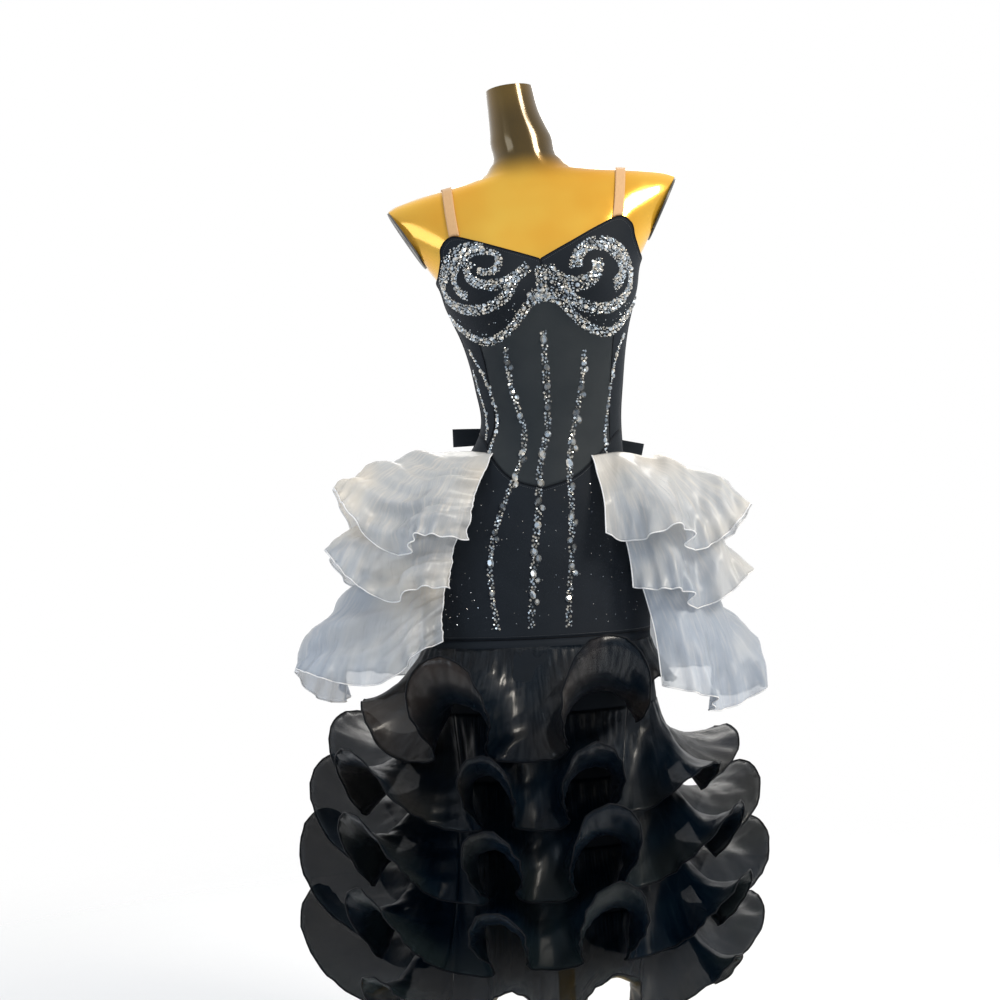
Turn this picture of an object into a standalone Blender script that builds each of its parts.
"""Latin dance dress on a limbless dress form.

The dress is a boned-look bodice with two bust cups, a mesh midriff, a fitted hip, a skirt covered in
horsehair-edged organza ruffles and white organza flounces over each hip. It hangs from two narrow straps on a
dress form with a neck, which stands on a pole and a round base.

Units are metres, +Z is up, the front faces -Y, and the origin is the centre of the base's underside.
Angles run round the figure from the centre front (0) towards +X (90) to the centre back (180).
"""

import math
from collections import namedtuple

import bmesh
import bpy
import numpy as np
from mathutils import Vector
from mathutils.bvhtree import BVHTree

# Cloth, seams and clearances
CLOTH = 0.0015  # wall of the fitted panels
ORGANZA = 0.0012  # wall of the ruffles and flounces
EASE = 0.003  # room between the dress form and the cloth
SEAM_GAP = 0.0003  # room between two pieces that are sewn together
PANEL_FACE = EASE + CLOTH  # where a panel's outer face lies, out from the figure

# Levels of the figure, from the floor
NECKLINE_DIP = 1.3055
STRAP_POINT = 1.358
WAIST = 1.070
HIP_POINT = 0.975  # lowest point of the mesh front
SKIRT_SEAM = 0.7595
FORM_BOTTOM = 0.690
SKIRT_BASE_HEM = 0.368

# The stand
BASE_RADIUS = 0.180
BASE_THICKNESS = 0.010
POLE_RADIUS = 0.0125
FLANGE_RADIUS = 0.045
FLANGE_THICKNESS = 0.006
COLLAR_RADIUS = 0.024
COLLAR_HEIGHT = 0.045

# Stance of the form: the shoulders tilt, up on the +X side
SHOULDER_TILT = 0.080
TILT_STARTS = 1.080
TILT_FULL = 1.330

# Bust cups of a general figure
CUP_APART = 0.078
CUP_LEVEL = 1.268
CUP_DEPTH = 0.036
CUP_WIDTH = 0.046
CUP_HEIGHT = 0.044

# The figure and the skirt under the ruffles, one row for each level, from the floor up
Section = namedtuple("Section", "height half_width front back sway")
SECTIONS = (
    Section(0.300, 0.196, 0.180, 0.186, -0.022),
    Section(0.420, 0.188, 0.162, 0.170, -0.022),
    Section(0.560, 0.178, 0.140, 0.152, -0.022),
    Section(0.690, 0.169, 0.119, 0.135, -0.022),
    Section(0.760, 0.165, 0.107, 0.126, -0.021),
    Section(0.820, 0.166, 0.099, 0.122, -0.018),
    Section(0.880, 0.163, 0.093, 0.119, -0.013),
    Section(0.950, 0.144, 0.088, 0.106, -0.006),
    Section(1.010, 0.118, 0.080, 0.088, 0.001),
    Section(1.070, 0.1005, 0.074, 0.075, 0.0145),
    Section(1.130, 0.106, 0.079, 0.080, 0.0145),
    Section(1.200, 0.119, 0.087, 0.089, 0.0120),
    Section(1.260, 0.139, 0.091, 0.096, 0.0090),
    Section(1.300, 0.150, 0.090, 0.098, 0.0070),
    Section(1.325, 0.168, 0.086, 0.097, 0.0055),
    Section(1.350, 0.195, 0.080, 0.093, 0.0040),
    Section(1.380, 0.222, 0.070, 0.084, 0.0040),
    Section(1.405, 0.227, 0.061, 0.075, 0.0020),
    Section(1.420, 0.211, 0.055, 0.068, 0.0010),
    Section(1.432, 0.160, 0.052, 0.062, 0.000),
    Section(1.442, 0.090, 0.050, 0.057, -0.001),
    Section(1.460, 0.057, 0.048, 0.052, -0.004),
    Section(1.500, 0.046, 0.045, 0.046, -0.011),
    Section(1.540, 0.038, 0.041, 0.041, -0.020),
    Section(1.575, 0.035, 0.037, 0.037, -0.025),
)

# The slanted cuts where the arms would start, as points on the +X side
ARM_CUT_TOP = Vector((0.220, 0.006, 1.424))
ARM_CUT_BOTTOM = Vector((0.161, 0.006, 1.318))
ARM_PLATE_HALF_HEIGHT = 0.050
ARM_PLATE_HALF_DEPTH = 0.046
ARM_PLATE_THICKNESS = 0.003

# The bodice's top edge, from the centre front round to the centre back
EdgePoint = namedtuple("EdgePoint", "angle height")
TOP_EDGE = (
    EdgePoint(0, NECKLINE_DIP),
    EdgePoint(20, 1.3330),
    EdgePoint(28, 1.3470),
    EdgePoint(36, STRAP_POINT),
    EdgePoint(45, 1.3480),
    EdgePoint(55, 1.3280),
    EdgePoint(70, 1.3080),
    EdgePoint(90, 1.2980),
    EdgePoint(130, 1.2700),
    EdgePoint(180, 1.2500),
)
# The seam under the cups
UNDER_BUST = (
    EdgePoint(0, 1.2560),
    EdgePoint(8, 1.2410),
    EdgePoint(20, 1.2130),
    EdgePoint(34, 1.1950),
    EdgePoint(48, 1.1920),
    EdgePoint(62, 1.2040),
    EdgePoint(76, 1.2250),
    EdgePoint(90, 1.2450),
)
# The seam where the mesh front meets the opaque hip
HIP_LINE = (
    EdgePoint(0, HIP_POINT),
    EdgePoint(20, 0.9900),
    EdgePoint(40, 1.0200),
    EdgePoint(60, 1.0480),
    EdgePoint(90, 1.0620),
    EdgePoint(180, 1.0620),
)
PRINCESS_ANGLE = 54  # seam between the mesh front and the side panel
STRAP_ANGLE = 36
STRAP_BACK_ANGLE = 126
STRAP_BOW = 0.016  # how far a strap swings out on its way over the shoulder
STRAP_WIDTH = 0.015
STRAP_WALL = 0.0011
STRAP_LIFT = 0.0011  # room under a strap
STRAP_END_GAP = 0.0008  # room between a strap's end and the bodice's top edge
STRAP_STEPS = 16

# Ruffles: one row for each place along the strip. dip is how far the strip hangs below level, swell how far its
# edge swings from side to side, both in degrees; reach is the depth of the strip from seam to edge.
Station = namedtuple("Station", "angle seam dip reach swell")
# A fully swung ruffle starts this many degrees steeper than its dip and ends this much flatter. The flounces do the
# opposite: they start flat and end steep, like a bell.
SKIRT_FLARE = 31
HIP_FLARE = -34
# phase: where the folds stand at the centre front; twist: how far they drift from it at the sides, both in radians
# room: how far outside the panel the strip is sewn; it makes up for the panels' flat facets
# lean: how far, in metres, the folds' edges are combed round to the front at the sides of the figure
Strip = namedtuple("Strip", "name waves phase twist room lean stations")
SKIRT_RUFFLES = (
    Strip("skirt_ruffle_1", 7, 6.70, 0.0, 0.0009, 0.00, (
        Station(-180, 0.748, 50, 0.100, 36),
        Station(-150, 0.748, 56, 0.090, 30),
        Station(-90, 0.748, 54, 0.090, 30),
        Station(-74, 0.748, 46, 0.130, 50),
        Station(-58, 0.748, 42, 0.178, 84),
        Station(-40, 0.748, 42, 0.180, 98),
        Station(0, 0.748, 42, 0.178, 97),
        Station(28, 0.748, 44, 0.165, 88),
        Station(42, 0.748, 50, 0.120, 58),
        Station(54, 0.748, 62, 0.075, 22),
        Station(90, 0.748, 60, 0.075, 22),
        Station(150, 0.748, 56, 0.090, 30),
        Station(180, 0.748, 50, 0.100, 36),
    )),
    Strip("skirt_ruffle_2", 7, 6.45, 0.4, 0.0009, 0.10, (
        Station(-180, 0.655, 44, 0.172, 84),
        Station(-90, 0.655, 42, 0.165, 86),
        Station(-45, 0.655, 44, 0.177, 92),
        Station(0, 0.655, 44, 0.178, 92),
        Station(45, 0.655, 50, 0.158, 80),
        Station(90, 0.655, 54, 0.136, 74),
        Station(135, 0.655, 50, 0.152, 76),
        Station(180, 0.655, 44, 0.172, 84),
    )),
    Strip("skirt_ruffle_3", 7, 6.20, 0.8, 0.0009, 0.10, (
        Station(-180, 0.560, 44, 0.178, 88),
        Station(-90, 0.560, 42, 0.167, 90),
        Station(-45, 0.560, 44, 0.180, 94),
        Station(0, 0.560, 45, 0.178, 94),
        Station(45, 0.560, 46, 0.166, 90),
        Station(90, 0.560, 46, 0.143, 86),
        Station(135, 0.560, 46, 0.162, 86),
        Station(180, 0.560, 44, 0.178, 88),
    )),
    Strip("skirt_ruffle_4", 7, 5.95, 1.2, 0.0009, 0.10, (
        Station(-180, 0.465, 45, 0.173, 88),
        Station(-90, 0.465, 43, 0.167, 90),
        Station(-45, 0.465, 45, 0.180, 92),
        Station(0, 0.465, 46, 0.172, 92),
        Station(45, 0.465, 47, 0.164, 90),
        Station(90, 0.465, 47, 0.143, 86),
        Station(135, 0.465, 46, 0.162, 86),
        Station(180, 0.465, 45, 0.173, 88),
    )),
    Strip("skirt_ruffle_5", 7, 5.70, 1.6, 0.0009, 0.10, (
        Station(-180, 0.374, 50, 0.163, 84),
        Station(-90, 0.374, 48, 0.160, 86),
        Station(-45, 0.374, 49, 0.174, 88),
        Station(0, 0.374, 52, 0.140, 82),
        Station(45, 0.374, 54, 0.146, 82),
        Station(90, 0.374, 55, 0.130, 78),
        Station(135, 0.374, 53, 0.148, 80),
        Station(180, 0.374, 50, 0.163, 84),
    )),
)
# Slow changes of the folds' spacing round the skirt, shared by all the rings so that their folds nest
Warp = namedtuple("Warp", "times size lag")
FOLD_WARPS = (Warp(2, 0.30, 0.5), Warp(3, 0.22, 2.0), Warp(5, 0.10, 1.0))
# Each ruffle ring is sewn from four lengths
Length = namedtuple("Length", "label start end")
RING_LENGTHS = (
    Length("front", -45, 45),
    Length("side_right", 45, 135),
    Length("back", 135, 225),
    Length("side_left", 225, 315),
)
LENGTH_GAP_ANGLE = 0.08  # degrees left free at each end of a length

# The white flounces over the hips, from one end to the other
HIP_FLOUNCES = (
    Strip("hip_flounce_right_1", 12, -2.10, 0, 0.0009, 0.02, (
        Station(34, 1.020, 56, 0.130, 40),
        Station(60, 1.024, 43, 0.190, 76),
        Station(90, 1.022, 32, 0.215, 84),
        Station(120, 1.010, 41, 0.175, 66),
        Station(155, 1.000, 50, 0.110, 32),
    )),
    Strip("hip_flounce_right_2", 12, -2.40, 0, 0.0009, 0.02, (
        Station(44, 0.965, 62, 0.150, 40),
        Station(66, 0.970, 53, 0.210, 70),
        Station(90, 0.970, 46, 0.222, 78),
        Station(120, 0.955, 52, 0.190, 60),
        Station(155, 0.945, 62, 0.130, 28),
    )),
    Strip("hip_flounce_right_3", 12, -2.70, 0, 0.0004, 0.02, (
        Station(50, 0.890, 68, 0.220, 36),
        Station(68, 0.895, 61, 0.280, 60),
        Station(90, 0.895, 58, 0.288, 70),
        Station(120, 0.885, 60, 0.245, 54),
        Station(155, 0.880, 70, 0.140, 28),
    )),
    Strip("hip_flounce_left_1", 12, 2.10, 0, 0.0009, 0.02, (
        Station(-155, 1.000, 50, 0.110, 32),
        Station(-120, 1.015, 34, 0.180, 66),
        Station(-90, 1.035, 20, 0.225, 84),
        Station(-66, 1.034, 34, 0.215, 80),
        Station(-44, 1.030, 54, 0.150, 44),
    )),
    Strip("hip_flounce_left_2", 12, 2.40, 0, 0.0009, 0.02, (
        Station(-155, 0.945, 62, 0.130, 28),
        Station(-120, 0.965, 44, 0.195, 60),
        Station(-90, 0.985, 31, 0.225, 78),
        Station(-68, 0.985, 43, 0.215, 74),
        Station(-48, 0.980, 60, 0.165, 42),
    )),
    Strip("hip_flounce_left_3", 12, 2.70, 0, 0.0004, 0.02, (
        Station(-155, 0.880, 70, 0.140, 28),
        Station(-125, 0.895, 57, 0.250, 52),
        Station(-97, 0.905, 45, 0.305, 72),
        Station(-78, 0.905, 50, 0.262, 66),
        Station(-62, 0.900, 60, 0.195, 50),
        Station(-50, 0.895, 68, 0.145, 34),
    )),
)

# The bow at the back of the waist
BOW_LEVEL = 1.060
BOW_KNOT = Vector((0.028, 0.020, 0.032))
Loop = namedtuple("Loop", "name side droop")
BOW_LOOPS = (
    Loop("bow_loop_left", -1, 0.0),
    Loop("bow_loop_right", 1, 14.0),
)
BOW_HALF_SPAN = 0.150
BOW_WIDTH = 0.028
BOW_BULGE = 0.010
BOW_LOOP_STEPS = 12

# Mesh density
FORM_POINTS_ROUND = 26
FORM_ROW_HEIGHT = 0.032
COLUMN_ANGLE = 9  # all panels share these columns, so that their seams match
COLUMNS_PER_WAVE = 11
RUFFLE_ROWS = (0.0, 0.34, 0.68, 1.0)

Colour = namedtuple("Colour", "rgb roughness metallic")
GOLD = Colour((0.83, 0.55, 0.10), 0.18, 0.85)
BRASS = Colour((0.78, 0.62, 0.22), 0.20, 1.0)
PLATE_GREY = Colour((0.10, 0.10, 0.11), 0.35, 0.6)
BLACK_CREPE = Colour((0.012, 0.014, 0.018), 0.80, 0.0)
BLACK_MESH = Colour((0.030, 0.034, 0.038), 0.75, 0.0)
BLACK_ORGANZA = Colour((0.012, 0.016, 0.022), 0.35, 0.0)
WHITE_ORGANZA = Colour((0.80, 0.81, 0.84), 0.40, 0.0)
SKIN_STRAP = Colour((0.72, 0.44, 0.22), 0.55, 0.0)


def smooth_value(at, places, values):
    """A smooth curve through the table's values, with slopes from their neighbours."""
    places = np.asarray(places, float)
    values = np.asarray(values, float)
    slopes = np.gradient(values, places)
    at = np.clip(at, places[0], places[-1])
    row = np.clip(np.searchsorted(places, at, side="right") - 1, 0, len(places) - 2)
    step = places[row + 1] - places[row]
    t = (at - places[row]) / step
    start = (2 * t**3 - 3 * t**2 + 1) * values[row] + (t**3 - 2 * t**2 + t) * step * slopes[row]
    end = (3 * t**2 - 2 * t**3) * values[row + 1] + (t**3 - t**2) * step * slopes[row + 1]
    return start + end


def section_value(height, column):
    """One column of the section table at any height."""
    return smooth_value(height, [s.height for s in SECTIONS], [getattr(s, column) for s in SECTIONS])


def edge_height(edge, angle):
    """Height of a seam or edge at an angle; the two halves are alike."""
    turned = (angle + 180) % 360 - 180
    return float(smooth_value(abs(turned), [p.angle for p in edge], [p.height for p in edge]))


def stance(x, y, height):
    """The figure's sway and the tilt of its shoulders, for a point of the upright figure."""
    ramp = np.clip((height - TILT_STARTS) / (TILT_FULL - TILT_STARTS), 0, 1)
    ramp = ramp * ramp * (3 - 2 * ramp)
    return Vector((x + section_value(height, "sway"), y, height + SHOULDER_TILT * ramp * x))


def figure_point(angle, height, offset=0.0):
    """A point of the figure, moved out by an offset. The bust stands out from the section's ellipse."""
    across = math.sin(math.radians(angle))
    ahead = math.cos(math.radians(angle))
    half_width = section_value(height, "half_width")
    depth = section_value(height, "front" if ahead > 0 else "back")
    x = half_width * across
    bust = 0.0
    if ahead > 0:
        for side in (-1, 1):
            from_centre = (x - side * CUP_APART) / CUP_WIDTH
            from_level = (height - CUP_LEVEL) / CUP_HEIGHT
            bust += CUP_DEPTH * math.exp(-0.5 * (from_centre**2 + from_level**2))
    return stance(x + offset * across, -(depth + offset) * ahead - bust * ahead**0.5 if ahead > 0
                  else -(depth + offset) * ahead, height)


def new_object(name, mesh, colour, collection):
    """Puts a mesh in the scene with its own material."""
    obj = bpy.data.objects.new(name, mesh)
    collection.objects.link(obj)
    material = bpy.data.materials.new(name)
    material.use_nodes = True
    shader = material.node_tree.nodes["Principled BSDF"]
    shader.inputs["Base Color"].default_value = (*colour.rgb, 1)
    shader.inputs["Roughness"].default_value = colour.roughness
    shader.inputs["Metallic"].default_value = colour.metallic
    obj.data.materials.append(material)
    return obj


def wall_mesh(name, inner, outer):
    """A closed wall between two alike grids of points, the outer one away from the figure."""
    rows = len(inner)
    columns = len(inner[0])
    work = bmesh.new()
    near = [[work.verts.new(p) for p in row] for row in inner]
    far = [[work.verts.new(p) for p in row] for row in outer]
    for r in range(rows - 1):
        for c in range(columns - 1):
            corners = ((r, c), (r, c + 1), (r + 1, c + 1), (r + 1, c))
            for i, j, k in ((0, 1, 2), (0, 2, 3)):
                work.faces.new([far[a][b] for a, b in (corners[i], corners[j], corners[k])])
                work.faces.new([near[a][b] for a, b in (corners[k], corners[j], corners[i])])
    rim = [(0, c) for c in range(columns)] + [(r, columns - 1) for r in range(1, rows)]
    rim += [(rows - 1, c) for c in range(columns - 2, -1, -1)] + [(r, 0) for r in range(rows - 2, 0, -1)]
    for (r, c), (next_r, next_c) in zip(rim, rim[1:] + rim[:1]):
        work.faces.new((near[r][c], near[next_r][next_c], far[next_r][next_c], far[r][c]))
    mesh = bpy.data.meshes.new(name)
    work.to_mesh(mesh)
    work.free()
    mesh.shade_smooth()
    mesh.set_sharp_from_angle(angle=math.radians(50))
    return mesh


def panel(name, start, end, bottom, top, rows, colour, collection):
    """A cut panel of the fitted dress between two angles, its lower and upper edges given as functions of angle."""
    count = round((end - start) / COLUMN_ANGLE)
    angles = [start + (end - start) * c / count for c in range(count + 1)]
    inset = seam_angle(WAIST)
    walls = []
    for offset in (EASE, EASE + CLOTH):
        grid = []
        for r in range(rows):
            share = 1 - (1 - r / (rows - 1)) ** 1.2
            row = []
            for angle in angles:
                low = bottom(angle) + SEAM_GAP / 2
                high = top(angle) - SEAM_GAP / 2
                inside = min(max(angle, start + inset), end - inset)
                row.append(figure_point(inside, low + (high - low) * share, offset))
            grid.append(row)
        walls.append(grid)
    return new_object(name, wall_mesh(name, *walls), colour, collection)


def seam_angle(height):
    """Half the angle that keeps two panels one seam gap apart at their shared upright seam."""
    radius = float(section_value(height, "half_width"))
    return math.degrees(SEAM_GAP / 2 / radius) * 1.2


def build_bodice(collection):
    """The cups, the mesh front, the side panels, the back and the fitted hip."""
    top = lambda angle: edge_height(TOP_EDGE, angle)
    under = lambda angle: edge_height(UNDER_BUST, angle)
    hip = lambda angle: edge_height(HIP_LINE, angle)
    seam = lambda angle: SKIRT_SEAM
    panel("cup_left", -90, 0, under, top, 9, BLACK_CREPE, collection)
    panel("cup_right", 0, 90, under, top, 9, BLACK_CREPE, collection)
    panel("midriff_mesh", -PRINCESS_ANGLE, PRINCESS_ANGLE, hip, under, 7, BLACK_MESH, collection)
    panel("side_left", -90, -PRINCESS_ANGLE, hip, under, 7, BLACK_CREPE, collection)
    panel("side_right", PRINCESS_ANGLE, 90, hip, under, 7, BLACK_CREPE, collection)
    panel("back_bodice", 90, 270, hip, top, 9, BLACK_CREPE, collection)
    panel("hip_front", -90, 90, seam, hip, 9, BLACK_CREPE, collection)
    panel("hip_back", 90, 270, seam, hip, 9, BLACK_CREPE, collection)


def build_skirt_base(collection):
    """The plain skirt that the ruffles are sewn to."""
    hem = lambda angle: SKIRT_BASE_HEM
    seam = lambda angle: SKIRT_SEAM
    panel("skirt_base_front", -90, 90, hem, seam, 5, BLACK_CREPE, collection)
    panel("skirt_base_back", 90, 270, hem, seam, 5, BLACK_CREPE, collection)


def bessel(order, swing):
    """Bessel function of the first kind, by its integral."""
    u = np.linspace(0, 2 * math.pi, 48, endpoint=False)
    return float(np.mean(np.cos(order * u - swing * np.sin(u))))


def meander(phase, swing):
    """Offsets, along and across, of a curve whose heading swings by an angle, for a wavelength of 2 pi."""
    straight = bessel(0, swing)
    along = (bessel(2, swing) * math.sin(2 * phase) + bessel(4, swing) * math.sin(4 * phase) / 2) / straight
    across = -2 * (bessel(1, swing) * math.cos(phase) + bessel(3, swing) * math.cos(3 * phase) / 3) / straight
    return along, across


def ruffle_point(strip, angle, share):
    """A point of a ruffle, a share of the way from its seam to its edge, where the strip meets this angle."""
    turned = (angle + 180) % 360 - 180
    places = [s.angle for s in strip.stations]
    seam, dip, reach, swell = (
        float(smooth_value(turned, places, [getattr(s, column) for s in strip.stations]))
        for column in ("seam", "dip", "reach", "swell")
    )
    sewn = figure_point(angle, seam, PANEL_FACE + strip.room)
    step = 0.5
    along_seam = figure_point(angle + step, seam, PANEL_FACE) - figure_point(angle - step, seam, PANEL_FACE)
    along = Vector((along_seam.x, along_seam.y, 0)).normalized()
    out = Vector((along.y, -along.x, 0))
    flare = (SKIRT_FLARE if strip in SKIRT_RUFFLES else HIP_FLARE) * swell / 90
    first = math.radians(dip + flare)
    bend = math.radians(2 * flare)
    away = reach * (math.sin(first) - math.sin(first - bend * share)) / bend
    fall = reach * (math.cos(first - bend * share) - math.cos(first)) / bend
    slope = first - bend * share
    radius = along_seam.length / math.radians(2 * step) + away
    turn = math.radians(angle)
    phase = strip.waves * turn + strip.phase + strip.twist * math.sin(turn)
    phase += sum(w.size * math.sin(w.times * turn + w.lag) for w in FOLD_WARPS)
    waves = strip.waves + strip.twist * math.cos(turn)
    waves += sum(w.size * w.times * math.cos(w.times * turn + w.lag) for w in FOLD_WARPS)
    offset_along, offset_across = (offset * radius / waves for offset in meander(phase, math.radians(swell) * share))
    away_folded = away + math.sin(slope) * offset_across
    fall_folded = fall - math.cos(slope) * offset_across
    # The cloth is as deep in a crest as in a hollow, so a fold keeps its distance from the seam
    keep = max(math.hypot(away, fall), 1e-9) / max(math.hypot(away_folded, fall_folded), 1e-9)
    combed = strip.lean * math.sin(turn) * max(share, 0) ** 1.4
    return sewn + along * (offset_along - combed) + (out * away_folded - Vector((0, 0, 1)) * fall_folded) * keep


def ruffle(name, strip, start, end, colour, collection):
    """One length of a ruffle between two angles, its thickness on the upper side."""
    columns = round(abs(end - start) / 360 * strip.waves * COLUMNS_PER_WAVE)
    angles = [start + (end - start) * c / columns for c in range(columns + 1)]
    under, upper = [], []
    for share in reversed(RUFFLE_ROWS):
        row, lifted = [], []
        for angle in angles:
            point = ruffle_point(strip, angle, share)
            along = ruffle_point(strip, angle + 0.05, share) - ruffle_point(strip, angle - 0.05, share)
            up = ruffle_point(strip, angle, share - 0.01) - ruffle_point(strip, angle, share + 0.01)
            row.append(point)
            lifted.append(point + along.cross(up).normalized() * ORGANZA)
        under.append(row)
        upper.append(lifted)
    return new_object(name, wall_mesh(name, under, upper), colour, collection)


def build_skirt_ruffles(collection):
    """Black rings of ruffle, each in four lengths."""
    for strip in SKIRT_RUFFLES:
        for length in RING_LENGTHS:
            ruffle(f"{strip.name}_{length.label}", strip, length.start + LENGTH_GAP_ANGLE,
                   length.end - LENGTH_GAP_ANGLE, BLACK_ORGANZA, collection)


def build_hip_flounces(collection):
    """White flounces over each hip, from the front diagonal round to the back."""
    for strip in HIP_FLOUNCES:
        ruffle(strip.name, strip, strip.stations[0].angle, strip.stations[-1].angle, WHITE_ORGANZA, collection)


def build_form(collection, cutters):
    """The dress form: one smooth torso with a neck, cut flat where the arms would start."""
    heights = [s.height for s in SECTIONS if s.height >= FORM_BOTTOM]
    levels = []
    for low, high in zip(heights, heights[1:]):
        parts = max(1, round((high - low) / FORM_ROW_HEIGHT))
        levels += [low + (high - low) * i / parts for i in range(parts)]
    levels.append(heights[-1])
    work = bmesh.new()
    rings = []
    for level in levels:
        ring = []
        for i in range(FORM_POINTS_ROUND):
            ring.append(work.verts.new(figure_point(360 * i / FORM_POINTS_ROUND, level)))
        rings.append(ring)
    for low, high in zip(rings, rings[1:]):
        for i in range(FORM_POINTS_ROUND):
            j = (i + 1) % FORM_POINTS_ROUND
            work.faces.new((low[i], low[j], high[j], high[i]))
    work.faces.new(list(reversed(rings[0])))
    work.faces.new(rings[-1])
    mesh = bpy.data.meshes.new("form_torso")
    work.to_mesh(mesh)
    work.free()
    mesh.shade_smooth()
    torso = new_object("form_torso", mesh, GOLD, collection)
    for side in (-1, 1):
        cutter = arm_cutter(side, cutters)
        cut = torso.modifiers.new("arm_cut", "BOOLEAN")
        cut.operation = "DIFFERENCE"
        cut.object = cutter
        arm_plate(side, collection)


def arm_frame(side):
    """Centre, outward direction and downhill direction of one arm cut, tilted with the shoulders."""
    top = stance(side * ARM_CUT_TOP.x, 0.0, ARM_CUT_TOP.z)
    bottom = stance(side * ARM_CUT_BOTTOM.x, 0.0, ARM_CUT_BOTTOM.z)
    downhill = (bottom - top).normalized()
    outward = Vector((-downhill.z * side, 0, downhill.x * side))
    return (top + bottom) / 2, outward, downhill


def turned_mesh(name, work, centre, outward, downhill):
    """Turns a mesh made about its own +X so that +X points outward, and moves it into place."""
    sideways = downhill.cross(outward)
    for vert in work.verts:
        vert.co = centre + outward * vert.co.x + sideways * vert.co.y - downhill * vert.co.z
    work.normal_update()
    if work.calc_volume(signed=True) < 0:
        bmesh.ops.reverse_faces(work, faces=work.faces)
    mesh = bpy.data.meshes.new(name)
    work.to_mesh(mesh)
    work.free()
    return mesh


def arm_cutter(side, cutters):
    """A block beyond the slanted plane of one arm cut."""
    size = 0.30
    work = bmesh.new()
    bmesh.ops.create_cube(work, size=size)
    for vert in work.verts:
        vert.co.x += size / 2
    mesh = turned_mesh("arm_cutter", work, *arm_frame(side))
    cutter = bpy.data.objects.new("arm_cutter", mesh)
    cutter.hide_render = True
    cutter.display_type = "WIRE"
    cutters.objects.link(cutter)
    return cutter


def arm_plate(side, collection):
    """The dark oval plate on one arm cut."""
    work = bmesh.new()
    bmesh.ops.create_cone(work, cap_ends=True, segments=28, radius1=1, radius2=1, depth=ARM_PLATE_THICKNESS)
    for vert in work.verts:
        round_y, round_z, thick = vert.co.x, vert.co.y, vert.co.z
        vert.co = Vector((thick + ARM_PLATE_THICKNESS / 2 + SEAM_GAP, round_y * ARM_PLATE_HALF_DEPTH,
                          round_z * ARM_PLATE_HALF_HEIGHT))
    name = "arm_plate_right" if side > 0 else "arm_plate_left"
    return new_object(name, turned_mesh(name, work, *arm_frame(side)), PLATE_GREY, collection)


def smooth_surface():
    """The upper figure as a fine surface, for the straps to lie on."""
    rows, columns = 120, 120
    points = []
    for r in range(rows + 1):
        height = 1.20 + (1.46 - 1.20) * r / rows
        points += [figure_point(360 * c / columns, height) for c in range(columns)]
    faces = []
    for r in range(rows):
        for c in range(columns):
            d = (c + 1) % columns
            faces.append((r * columns + c, r * columns + d, (r + 1) * columns + d, (r + 1) * columns + c))
    return BVHTree.FromPolygons(points, faces)


def top_edge_point(angle, sideways):
    """A point just above the bodice's top edge, a distance sideways of the point at an angle."""
    wanted = figure_point(angle, edge_height(TOP_EDGE, angle)).x + sideways
    near = [angle + step / 4 for step in range(-60, 61)]
    points = [figure_point(a, edge_height(TOP_EDGE, a) + STRAP_END_GAP) for a in near]
    return min(points, key=lambda point: abs(point.x - wanted))


def strap_path(surface, x_front, x_back, front, back):
    """Points over the shoulder, evenly spread over its bends, each with its way out and the room it needs."""
    middle = Vector((0, 0.005, 1.330))
    first = math.atan2(front.z - middle.z, middle.y - front.y)
    last = math.atan2(back.z - middle.z, middle.y - back.y) % (2 * math.pi)
    dense = []
    for i in range(161):
        share = i / 160
        turn = first + (last - first) * share
        direction = Vector((0, -math.cos(turn), math.sin(turn)))
        bow = math.copysign(STRAP_BOW * math.sin(math.pi * share), x_front)
        origin = Vector((x_front + (x_back - x_front) * share + bow, middle.y, middle.z)) + direction * 0.4
        hit, normal, _, _ = surface.ray_cast(origin, -direction)
        dense.append((hit, normal))
    measure = [0.0]
    for (p, n), (q, m) in zip(dense, dense[1:]):
        measure.append(measure[-1] + (q - p).length / 0.12 + n.angle(m))
    picked = [dense[i] for i in np.searchsorted(measure, np.linspace(0, measure[-1], STRAP_STEPS + 1) - 1e-9)]
    sag = [(q - p).length * n.angle(m) / 8 for (p, n), (q, m) in zip(picked, picked[1:])]
    room = [STRAP_LIFT + max(sag[max(0, i - 1):i + 1]) for i in range(len(picked))]
    return [(point, normal, lift) for (point, normal), lift in zip(picked, room)]


def build_straps(collection):
    """The two narrow straps, laid on the form's shoulders, their ends inside the bodice."""
    surface = smooth_surface()
    for side, name in ((-1, "strap_left"), (1, "strap_right")):
        inner, outer = [], []
        for edge in (-0.5, 0.0, 0.5):
            front = top_edge_point(side * STRAP_ANGLE, edge * STRAP_WIDTH)
            back = top_edge_point(side * STRAP_BACK_ANGLE, edge * STRAP_WIDTH)
            path = strap_path(surface, front.x, back.x, front, back)
            inner.append([point + normal * lift for point, normal, lift in path])
            outer.append([point + normal * (lift + STRAP_WALL) for point, normal, lift in path])
        inner.reverse()
        outer.reverse()
        new_object(name, wall_mesh(name, inner, outer), SKIN_STRAP, collection)


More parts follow.
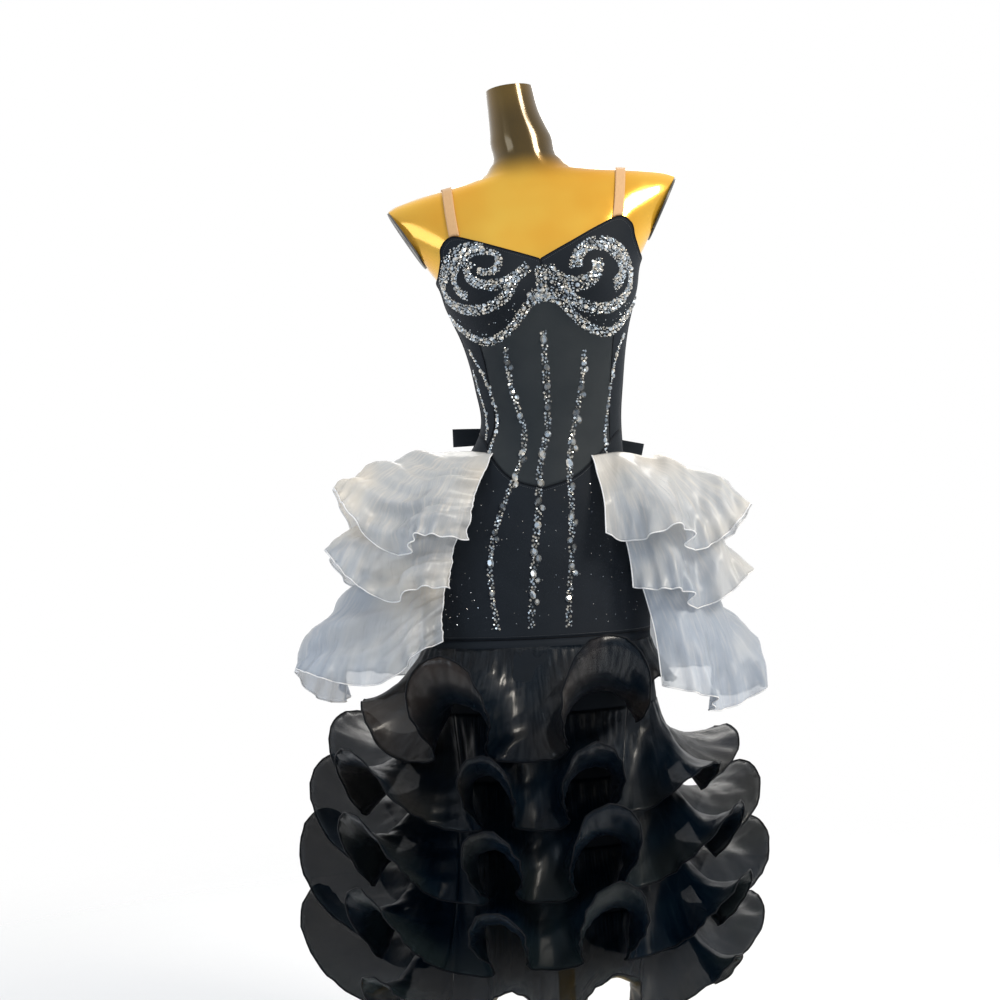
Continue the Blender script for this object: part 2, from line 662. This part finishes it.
def build_bow(collection):
    """The flat bow at the back of the waist: a loop to each side and a knot between them."""
    seat = max(
        figure_point(angle, BOW_LEVEL + share * BOW_KNOT.z, PANEL_FACE + SEAM_GAP).y
        for angle in (176, 180, 184) for share in (-0.3, 0, 0.3)
    )
    middle = figure_point(180, BOW_LEVEL).x
    knot = Vector((middle, seat + BOW_KNOT.y / 2, BOW_LEVEL))
    for loop in BOW_LOOPS:
        droop = math.radians(loop.droop)
        away = Vector((loop.side * math.cos(droop), 0, -math.sin(droop)))
        up = Vector((loop.side * math.sin(droop), 0, math.cos(droop)))
        root = BOW_KNOT.x / 2 + SEAM_GAP + CLOTH * 0.4 + BOW_WIDTH * 0.35 * math.sin(droop)
        walls = []
        for thickness in (-CLOTH / 2, CLOTH / 2):
            grid = []
            for across in (-0.5, 0.0, 0.5):
                row = []
                for i in range(BOW_LOOP_STEPS + 1):
                    turn = math.radians(14) + math.radians(332) * i / BOW_LOOP_STEPS
                    share = (1 - math.cos(turn)) / 2
                    reach = root + (BOW_HALF_SPAN - root) * (share - 0.015)
                    bulge = BOW_BULGE * math.sin(turn)
                    outward = Vector((-math.cos(turn) * 0.35, math.sin(turn))).normalized() * thickness
                    wide = BOW_WIDTH * (0.7 + 0.3 * share) * across
                    row.append(knot + away * (reach + outward.x) + up * wide + Vector((0, bulge + outward.y, 0)))
                grid.append(row)
            walls.append(grid)
        if loop.side > 0:
            walls = [[list(reversed(row)) for row in grid] for grid in walls]
        new_object(loop.name, wall_mesh(loop.name, *walls), BLACK_CREPE, collection)
    work = bmesh.new()
    bmesh.ops.create_cube(work, size=1)
    bmesh.ops.bevel(work, geom=list(work.edges), offset=0.22, segments=1, affect="EDGES")
    for vert in work.verts:
        vert.co = knot + Vector((vert.co.x * BOW_KNOT.x, vert.co.y * BOW_KNOT.y, vert.co.z * BOW_KNOT.z))
    mesh = bpy.data.meshes.new("bow_knot")
    work.to_mesh(mesh)
    work.free()
    new_object("bow_knot", mesh, BLACK_CREPE, collection)


def lathe(name, profile, colour, collection, steps=40):
    """A turned piece about the pole's axis, from a closed profile of (radius, height) run from top to bottom."""
    work = bmesh.new()
    points = [work.verts.new((radius, 0, height)) for radius, height in profile]
    for a, b in zip(points, points[1:]):
        work.edges.new((a, b))
    if profile[0][0] > 0.0001:
        work.edges.new((points[-1], points[0]))
    mesh = bpy.data.meshes.new(name)
    work.to_mesh(mesh)
    work.free()
    obj = new_object(name, mesh, colour, collection)
    screw = obj.modifiers.new("turn", "SCREW")
    screw.steps = steps
    screw.render_steps = steps
    screw.use_merge_vertices = True
    screw.merge_threshold = 0.00005
    return obj


def build_stand(collection):
    """The base, its collar, the pole and the flange under the form."""
    edge = 0.003
    lathe("base_plate", (
        (0.0, BASE_THICKNESS),
        (BASE_RADIUS - edge, BASE_THICKNESS),
        (BASE_RADIUS, BASE_THICKNESS - edge),
        (BASE_RADIUS, 0.0),
        (0.0, 0.0),
    ), BRASS, collection, steps=48)
    collar_foot = BASE_THICKNESS + SEAM_GAP
    inner = POLE_RADIUS + SEAM_GAP
    lathe("base_collar", (
        (inner, collar_foot + COLLAR_HEIGHT),
        (COLLAR_RADIUS * 0.8, collar_foot + COLLAR_HEIGHT),
        (COLLAR_RADIUS, collar_foot + COLLAR_HEIGHT * 0.25),
        (COLLAR_RADIUS * 1.7, collar_foot),
        (inner, collar_foot),
    ), BRASS, collection, steps=24)
    flange_foot = FORM_BOTTOM - SEAM_GAP - FLANGE_THICKNESS
    lathe("form_flange", (
        (0.0, flange_foot + FLANGE_THICKNESS),
        (FLANGE_RADIUS, flange_foot + FLANGE_THICKNESS),
        (FLANGE_RADIUS, flange_foot),
        (0.0, flange_foot),
    ), PLATE_GREY, collection, steps=24)
    pole_foot = BASE_THICKNESS + SEAM_GAP
    pole_top = flange_foot - SEAM_GAP
    lathe("stand_pole", (
        (0.0, pole_top),
        (POLE_RADIUS, pole_top),
        (POLE_RADIUS, pole_foot),
        (0.0, pole_foot),
    ), BRASS, collection, steps=16)


def main():
    for obj in list(bpy.data.objects):
        bpy.data.objects.remove(obj)
    dress = bpy.data.collections.new("latin_dance_dress")
    cutters = bpy.data.collections.new("cutters")
    for collection in (dress, cutters):
        bpy.context.scene.collection.children.link(collection)
    build_form(dress, cutters)
    build_stand(dress)
    build_bodice(dress)
    build_skirt_base(dress)
    build_straps(dress)
    build_bow(dress)
    build_hip_flounces(dress)
    build_skirt_ruffles(dress)


main()
